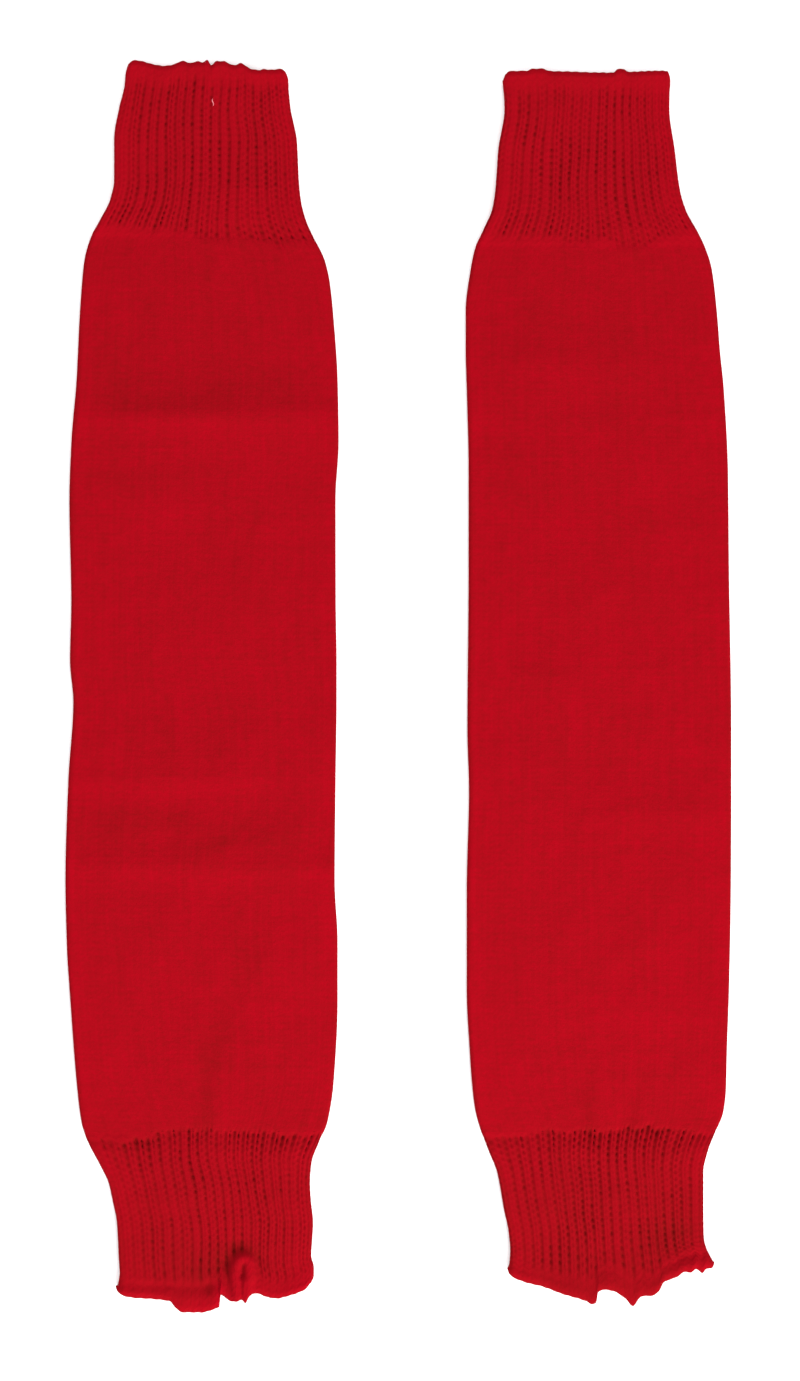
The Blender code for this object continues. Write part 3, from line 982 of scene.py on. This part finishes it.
def ribbing_share(warmer, across, along, inside, own_start):
    """1 where the ribs are full, less in the welts, and 0 on the leg and the roll."""
    soft = np.where(at_bottom(warmer, along), BOTTOM_RIB_FADE, TOP_RIB_FADE)
    width = read_table(warmer.welt, across, "across", "width")
    top_welt = fade(along - TOP_WELT, spread(TOP_WELT_SPREAD, own_start))
    bottom_welt = fade(edge_distance(warmer, across, along) - width, BOTTOM_WELT_FADE)
    welt = (1.0 - WELT_RIB) * np.maximum(top_welt, bottom_welt)
    return (1.0 - fade(inside, soft)) * (1.0 - welt) * (1.0 - loop_share(warmer, across, along))


def furrow_share(warmer, across, along, own_depth):
    """How deep the furrows are beside their usual depth."""
    calm = 1.0 - FOLD_CALM * bell(fold_distance(warmer, across, along), FOLD_CALM_REACH)
    uneven = soft_waves(warmer.seed + FURROW_SEED, FURROW_WAVES, across, along)
    uneven = 1.0 + uneven + pucker_sum(warmer, across, along, "furrows")
    return calm * spread(FURROW_SPREAD, own_depth) * np.clip(uneven, *FURROW_LIMITS)


def furrow_pits(warmer, number, along, own_course):
    """1 at each stitch and 0 between two, and the depth of the pits."""
    random = np.random.default_rng(warmer.seed + PIT_SEED)
    own_pits = random.uniform(size=(MOST_RIBS_ROUND, PITS_OWN))
    drift = soft_waves(warmer.seed + PIT_WAVE_SEED, PIT_WAVES, PIT_WAVE_STEP * number, along)
    course = along / RIB_COURSE + PIT_SHIFT * own_course + drift
    stitch = 0.5 + 0.5 * np.cos(2.0 * math.pi * course)
    own_pit = own_pits[number, np.round(course).astype(int) % PITS_OWN]
    return stitch, PIT_DEPTH * stitch**2 * spread(PIT_SPREAD, own_pit)


def knit_relief(warmer, rib, wale, across, along):
    """Depth of the knit's hollows: furrows and pits of ribs, grooves of plain wales."""
    own = np.random.default_rng(warmer.seed).uniform(size=(4, 2, MOST_RIBS_ROUND))
    end = at_bottom(warmer, along).astype(int)
    ribs_round = 2 * (ribs_across(warmer, along) + RIBS_ROUND_FOLD)
    number = np.round(rib).astype(int)
    phase = np.abs(rib - number)
    number = number % ribs_round
    own_depth, own_start, own_course = (own[i][end, number] for i in range(3))
    own_split = own[3][end, np.floor(rib).astype(int) % ribs_round]

    inside = ribs_inside(warmer, across, along, own_start)
    ribbing = ribbing_share(warmer, across, along, inside, own_start)
    furrow = furrow_share(warmer, across, along, own_depth) * bell(phase, FURROW_WIDTH)
    stitch, pit = furrow_pits(warmer, number, along, own_course)
    stroke = STROKE_DEPTH * end * bell(inside - STROKE_MIDDLE, STROKE_REACH)
    stroke = stroke * spread(STROKE_SPREAD, own_course)
    relief = ribbing * furrow * (FURROW_DEPTH + pit + stroke)

    fan = np.where(end == 1, BOTTOM_FAN, TOP_FAN)
    near_end = bell(inside - FAN_MIDDLE * fan, fan) * (inside > 0.0)
    denser = FAN_STROKE * stroke + near_end * spread(FAN_PIT_SPREAD, 1.0 - stitch)
    split = SPLIT_DEPTH * (SPLIT_BETWEEN - stitch) * spread(SPLIT_SPREAD, own_split)
    split = split + spread(FAN_SPREAD, own_split) * denser
    relief = relief + ribbing * bell(0.5 - phase, SPLIT_WIDTH) * split

    bead = bell(inside + SEAM_BEAD_OUTSIDE, SEAM_BEAD_WIDTH) * (1.0 - end)
    relief = relief - SEAM_BEAD * (0.5 - 0.5 * np.cos(4.0 * math.pi * rib)) * bead
    groove = 0.5 + 0.5 * np.cos(2.0 * math.pi * wale)
    return relief + WALE_DEPTH * groove * (1.0 - np.clip(ribbing, 0.0, 1.0))


def row_places(first, last, knit):
    """Distances of a piece's rows below the top hem, closer together near a leg's seams."""
    stretches = [(first, last, knit.row)]
    if knit.row > FINE_ROW:
        stretches = [
            (first, first + FINE_STRETCH, FINE_ROW),
            (first + FINE_STRETCH, last - FINE_STRETCH, knit.row),
            (last - FINE_STRETCH, last, FINE_ROW),
        ]
    rows = [np.linspace(a, b, round((b - a) / step), endpoint=False) for a, b, step in stretches]
    return np.append(np.concatenate(rows), last)


def round_rim(one, two, reach):
    """Rows that carry one layer's edge round to the other's, bulging by reach along y."""
    rows = []
    for step in range(1, RIM_STEPS):
        turn = math.pi * step / RIM_STEPS
        row = one * (0.5 + 0.5 * math.cos(turn)) + two * (0.5 - 0.5 * math.cos(turn))
        row[:, 1] += reach * math.sin(turn)
        rows.append(row)
    return np.stack(rows)


def piece_grid(warmer, first, last, knit):
    """A piece's grid: points, wale and course numbers, painted shades, and the rows at seams.

    Its rows run down the outside, round the bottom rim, up the lining and round the top rim.
    """
    open_top, open_bottom = first <= 0.0, last >= warmer.end
    rim = 0.5 * CUFF_WALL
    outside_from = first + rim * open_top
    outside_to = last - rim * open_bottom
    outside = row_places(outside_from, outside_to, knit)
    inside_count = round((outside_to - outside_from) / INSIDE_ROW) + 1
    inside = np.linspace(outside_to, outside_from, inside_count)
    side, place, wale = ring_columns(knit)
    along = outside[:, None]

    skin, out = lay_tube(warmer, outside, side, place)
    plain_wale = wale * WALES_ACROSS / knit.across
    rib = count_ribs(warmer, along, side, place)
    hollow = knit_relief(warmer, rib, plain_wale, skin[..., 0], along)
    skin = skin - out * hollow[..., None]
    lining, out = lay_tube(warmer, inside, side, place)
    lining = lining - out * wall_at(warmer, inside)[:, None, None]
    bottom_rim = round_rim(skin[-1], lining[0], -rim * open_bottom)
    top_rim = round_rim(lining[-1], skin[0], rim * open_top)

    points = np.concatenate([skin, bottom_rim, lining, top_rim])
    places = [outside, np.full(len(bottom_rim), outside_to), inside]
    course = np.concatenate([*places, np.full(len(top_rim), outside_from)]) / knit.course
    # Painted shade: the knit's hollows darker by their depth, plus the painted shade and light
    # of the marks, folds and hems
    shade = hollow / (FURROW_DEPTH + PIT_DEPTH)
    shade = shade + painted_shade_at(warmer, skin[..., 0], along)
    shade = shade + painted_rim_shade(warmer, side, place, skin[..., 0], along)
    # Painted shade round the bottom rim, and on the lining and the top rim
    bottom_shade = np.full((len(bottom_rim), len(side)), PAINTED_BOTTOM_RIM_SHADE)
    hidden_shade = np.full((len(lining) + len(top_rim), len(side)), PAINTED_RIM_SHADE)
    shade = np.concatenate([shade, bottom_shade, hidden_shade])
    ends = ((0, open_top), (len(outside) - 1, open_bottom))
    return points, wale, course, shade, [row for row, is_open in ends if not is_open]


def add_object(name, data):
    """A new object in the scene."""
    thing = bpy.data.objects.new(name, data)
    bpy.context.scene.collection.objects.link(thing)
    return thing


def join_grid(name, points, wale, course, shade, sharp_rows):
    """A closed shell from a grid of points that wraps both ways.

    It carries the knit as UVs and its painted shade and light as the attribute hollow.
    """
    rows, columns = points.shape[:2]
    index = np.arange(rows * columns).reshape(rows, columns)
    down = np.roll(index, -1, axis=0)
    beside = np.roll(index, -1, axis=1)
    both = np.roll(down, -1, axis=1)
    faces = np.stack([index, beside, both, down], axis=-1).reshape(-1, 4)
    data = bpy.data.meshes.new(name)
    data.from_pydata((points.reshape(-1, 3) * MM).tolist(), [], faces.tolist())
    next_wale = np.append(wale[1:], wale[-1] + wale[1] - wale[0])
    next_course = np.roll(course, -1)
    u = np.broadcast_to(np.stack([wale, next_wale, next_wale, wale], -1), (rows, columns, 4))
    v = np.stack([course, course, next_course, next_course], -1)[:, None, :]
    v = np.broadcast_to(v, (rows, columns, 4))
    layer = data.uv_layers.new(name="Knit")
    layer.data.foreach_set("uv", np.stack([u, v], -1).astype(np.float32).ravel())
    hollow = data.attributes.new("hollow", "FLOAT", "POINT")
    hollow.data.foreach_set("value", shade.astype(np.float32).ravel())
    data.shade_smooth()
    ends = np.empty(2 * len(data.edges), int)
    data.edges.foreach_get("vertices", ends)
    edge_rows = ends.reshape(-1, 2) // columns
    sharp = (edge_rows[:, 0] == edge_rows[:, 1]) & np.isin(edge_rows[:, 0], sharp_rows)
    mark = data.attributes.new("sharp_edge", "BOOLEAN", "EDGE")
    mark.data.foreach_set("value", sharp)
    return data


def make_piece(warmer, stretch, first, last, knit, material):
    """One stretch of a leg warmer as a closed shell of cloth with rounded rims."""
    name = f"{warmer.name}_{stretch}"
    data = join_grid(name, *piece_grid(warmer, first, last, knit))
    data.materials.append(material)
    piece = add_object(f"{name}_knit", data)
    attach(piece, "root")
    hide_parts(name)
    return piece


def make_fleck(warmer):
    """A short pale fibre with pointed ends, caught on the front of the top cuff."""
    share = np.linspace(0.0, 1.0, FLECK_RINGS)
    along = FLECK_ALONG[0] + (FLECK_ALONG[1] - FLECK_ALONG[0]) * share
    across = FLECK_ACROSS + FLECK_BEND * np.sin(2.0 * math.pi * share)
    down = along + hem_shift(warmer, across, along)
    height = front_height(warmer, across, along)
    radius = FLECK_RADIUS * np.sqrt(np.maximum(np.sin(math.pi * share), FLECK_TIP))
    turn = 2.0 * math.pi * np.arange(FLECK_SIDES) / FLECK_SIDES
    x = across[:, None] + radius[:, None] * np.cos(turn)
    z = height[:, None] + radius[:, None] * np.sin(turn)
    y = np.broadcast_to(-down[:, None], x.shape)
    points = np.stack([x, y, z], axis=-1).reshape(-1, 3) * MM
    index = np.arange(FLECK_RINGS * FLECK_SIDES).reshape(FLECK_RINGS, FLECK_SIDES)
    beside = np.roll(index, -1, axis=1)
    quads = np.stack([index[:-1], beside[:-1], beside[1:], index[1:]], axis=-1).reshape(-1, 4)
    faces = [*quads.tolist(), index[0, ::-1].tolist(), index[-1].tolist()]
    data = bpy.data.meshes.new("left_fleck")
    data.from_pydata(points.tolist(), [], faces)
    data.shade_smooth()
    data.materials.append(fleck_material())
    fleck = add_object("left_fleck", data)
    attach(fleck, "root")
    return fleck


def new_material(name, roughness, gloss):
    """A material, its node tree and its shader."""
    material = bpy.data.materials.new(name)
    material.use_nodes = True
    shader = material.node_tree.nodes["Principled BSDF"]
    shader.inputs["Roughness"].default_value = roughness
    shader.inputs["Specular IOR Level"].default_value = gloss
    return material, material.node_tree, shader


def add_math(tree, operation, *values):
    """A Math node's output; each value is a number or another node's output."""
    node = tree.nodes.new("ShaderNodeMath")
    node.operation = operation
    for socket, value in zip(node.inputs, values):
        if isinstance(value, (int, float)):
            socket.default_value = value
        else:
            tree.links.new(value, socket)
    return node.outputs[0]


def add_noise(tree, vector, kind):
    """A Noise Texture's value, less its middle, so that it is about 0 on average."""
    noise = tree.nodes.new("ShaderNodeTexNoise")
    noise.inputs["Scale"].default_value = kind.scale
    noise.inputs["Detail"].default_value = kind.detail
    noise.inputs["Roughness"].default_value = kind.roughness
    tree.links.new(vector, noise.inputs["Vector"])
    return add_math(tree, "SUBTRACT", noise.outputs[0], 0.5)


def add_stretched(tree, vector, scale):
    """A vector with its first two parts scaled."""
    mapping = tree.nodes.new("ShaderNodeMapping")
    mapping.inputs["Scale"].default_value = (*scale, 1.0)
    tree.links.new(vector, mapping.inputs["Vector"])
    return mapping.outputs[0]


def add_bump(tree, height, distance, normal=None):
    """A Bump node's normal, from a height whose full step is the distance."""
    bump = tree.nodes.new("ShaderNodeBump")
    bump.inputs["Distance"].default_value = distance * MM
    tree.links.new(height, bump.inputs["Height"])
    if normal is not None:
        tree.links.new(normal, bump.inputs["Normal"])
    return bump.outputs[0]


def add_ramp(tree, shade, dark, light):
    """A colour from dark to light."""
    ramp = tree.nodes.new("ShaderNodeValToRGB")
    ramp.color_ramp.elements[0].color = (*dark, 1.0)
    ramp.color_ramp.elements[1].color = (*light, 1.0)
    tree.links.new(shade, ramp.inputs[0])
    return ramp.outputs[0]


def stitch_heights(tree, knit_uv, ribbed):
    """Height of the yarn in a knit stitch, from 0 in the gaps to 1 on the yarn."""
    split = tree.nodes.new("ShaderNodeSeparateXYZ")
    tree.links.new(knit_uv, split.inputs[0])
    wale, course = split.outputs[0], split.outputs[1]
    if ribbed:
        from_middle = add_math(tree, "PINGPONG", wale, 0.5)
        aside = add_math(tree, "SUBTRACT", 1.0, add_math(tree, "MULTIPLY", from_middle, 2.0))
    else:
        from_middle = add_math(tree, "PINGPONG", add_math(tree, "ADD", wale, 0.5), 0.5)
        aside = add_math(tree, "MULTIPLY", from_middle, 2.0)
    # Each stitch is a V: its two arms rise from the middle of the wale to its sides
    arm = add_math(tree, "ADD", course, add_math(tree, "MULTIPLY", aside, ARM_RISE))
    yarn = add_math(tree, "PINGPONG", arm, 0.5)
    yarn = add_math(tree, "SINE", add_math(tree, "MULTIPLY", yarn, math.pi))
    middle = add_math(tree, "POWER", add_math(tree, "SUBTRACT", 1.0, aside), MIDDLE_SHARPNESS)
    side = add_math(tree, "POWER", aside, SIDE_SHARPNESS)
    gaps = add_math(tree, "ADD", add_math(tree, "MULTIPLY", middle, MIDDLE_GAP), side)
    return add_math(tree, "SUBTRACT", yarn, add_math(tree, "MULTIPLY", gaps, GAP_DEPTH))


def knit_material(name, look):
    """Red wool: V-shaped stitches with painted shade in their gaps, painted shade and light from
    the hollow attribute, a fuzz of fibres and a little sheen.
    """
    material, tree, shader = new_material(name, KNIT_ROUGHNESS, 0.0)
    shader.inputs["Sheen Weight"].default_value = SHEEN
    shader.inputs["Sheen Roughness"].default_value = SHEEN_ROUGHNESS
    shader.inputs["Sheen Tint"].default_value = SHEEN_TINT
    place = tree.nodes.new("ShaderNodeTexCoord").outputs["Object"]
    uv = tree.nodes.new("ShaderNodeUVMap")
    uv.uv_map = "Knit"
    knit_uv = uv.outputs[0]
    hollow = tree.nodes.new("ShaderNodeAttribute")
    hollow.attribute_name = "hollow"

    yarn = stitch_heights(tree, knit_uv, look.ribbed)
    fibre = add_noise(tree, place, FIBRE_NOISE)
    patch = add_noise(tree, place, PATCH_NOISE)
    mottle, wale_streak, course_streak = (
        add_noise(tree, add_stretched(tree, knit_uv, scale), kind)
        for scale, kind in (
            (look.mottle_scale, MOTTLE_NOISE),
            (WALE_STREAK_SCALE, STREAK_NOISE),
            (COURSE_STREAK_SCALE, STREAK_NOISE),
        )
    )
    # The yarn's height paints shade into the gaps between stitches, and the hollow attribute
    # paints shade and light on the knit; the noises give the yarn's own uneven tone
    shade = look.base_shade
    for amount, value in (
        (look.yarn_shade, add_math(tree, "SUBTRACT", yarn, YARN_MIDDLE)),
        (look.fibre_shade, fibre),
        (look.patch_shade, patch),
        (look.mottle_shade, mottle),
        (look.streak_shade, wale_streak),
        (COURSE_STREAK_SHARE * look.streak_shade, course_streak),
        (-look.depth_shade, hollow.outputs["Fac"]),
    ):
        shade = add_math(tree, "ADD", add_math(tree, "MULTIPLY", value, amount), shade)
    colour = add_ramp(tree, shade, look.dark, look.light)
    tree.links.new(colour, shader.inputs["Base Color"])

    stitches = add_bump(tree, yarn, look.stitch_bump)
    tree.links.new(add_bump(tree, fibre, look.fibre_bump, stitches), shader.inputs["Normal"])
    return material


def fleck_material():
    """Pale pink fibre with soft spots."""
    material, tree, shader = new_material("pale_fibre", FLECK_ROUGHNESS, FLECK_GLOSS)
    place = tree.nodes.new("ShaderNodeTexCoord").outputs["Object"]
    spots = add_math(tree, "ADD", add_noise(tree, place, FLECK_NOISE), FLECK_MIDDLE)
    tree.links.new(add_ramp(tree, spots, FLECK_DARK, FLECK_LIGHT), shader.inputs["Base Color"])
    return material


def make_floor():
    """A plain pale surface under the pair."""
    material, _, shader = new_material("pale_floor", FLOOR_ROUGHNESS, FLOOR_GLOSS)
    shader.inputs["Base Color"].default_value = FLOOR_WHITE
    half = FLOOR_HALF
    corners = [(-half, -half, 0.0), (half, -half, 0.0), (half, half, 0.0), (-half, half, 0.0)]
    data = bpy.data.meshes.new("floor")
    data.from_pydata(corners, [], [(0, 1, 2, 3)])
    data.materials.append(material)
    floor = add_object("floor", data)


def add_light(light):
    """A soft square light, turned to the middle of the pair."""
    data = bpy.data.lights.new(light.name, "AREA")
    data.size = light.size
    data.energy = light.power
    lamp = add_object(light.name, data)
    lamp.location = light.place
    lamp.rotation_euler = (-lamp.location).to_track_quat("-Z", "Y").to_euler()


def make_studio():
    """Soft studio light, strongest from the bottom of the photo, and a pale world."""
    scene = bpy.context.scene
    scene.view_settings.view_transform = "Standard"
    world = bpy.data.worlds.new("studio")
    world.use_nodes = True
    sky = world.node_tree.nodes["Background"]
    sky.inputs["Color"].default_value = WORLD_WHITE
    sky.inputs["Strength"].default_value = WORLD_STRENGTH
    scene.world = world
    for light in LIGHTS:
        add_light(light)


def make_camera():
    """A long lens straight above the pair, framed as in the photo."""
    data = bpy.data.cameras.new("camera")
    data.lens = CAMERA_LENS_MM
    data.sensor_width = CAMERA_SENSOR_MM
    height = PHOTO_HEIGHT_PX * MM_A_PX * CAMERA_LENS_MM / CAMERA_SENSOR_MM
    camera = add_object("camera", data)
    camera.location = (CAMERA_OFF_CENTRE[0] * MM, CAMERA_OFF_CENTRE[1] * MM, height * MM)
    bpy.context.scene.camera = camera


def place_warmer(warmer, pieces):
    """Put a leg warmer's pieces where its leg's solid lies."""
    low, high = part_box(f"{warmer.name}_leg")
    left, right = min(column(warmer.sections, "left")), max(column(warmer.sections, "right"))
    x = 0.5 * (low.x + high.x) - 0.5 * (left + right) * MM
    y = high.y + (warmer.leg_from + 0.5 * SEAM_GAP) * MM
    for piece in pieces:
        piece.location = (x, y, 0.0)


def make_leg_warmer(warmer, cuff_material, leg_material, extras=()):
    """The three pieces of one leg warmer, put where its leg's solid lies."""
    parts = (
        ("top_cuff", 0.0, warmer.leg_from, TOP_KNIT, cuff_material),
        ("leg", warmer.leg_from, warmer.leg_to, LEG_KNIT, leg_material),
        ("bottom_cuff", warmer.leg_to, warmer.end, BOTTOM_KNIT, cuff_material),
    )
    pieces = list(extras)
    for stretch, first, last, knit, material in parts:
        piece = make_piece(warmer, stretch, first, last, knit, material)
        left, right = side_folds(warmer, np.linspace(first, last, SHEET_SAMPLES))
        pieces.append(piece)
    place_warmer(warmer, pieces)


cuff_material = knit_material("cuff_wool", CUFF_LOOK)
leg_material = knit_material("leg_wool", LEG_LOOK)
make_leg_warmer(LEFT, cuff_material, leg_material, [make_fleck(LEFT)])
make_leg_warmer(RIGHT, cuff_material, leg_material)
make_floor()
make_studio()
make_camera()
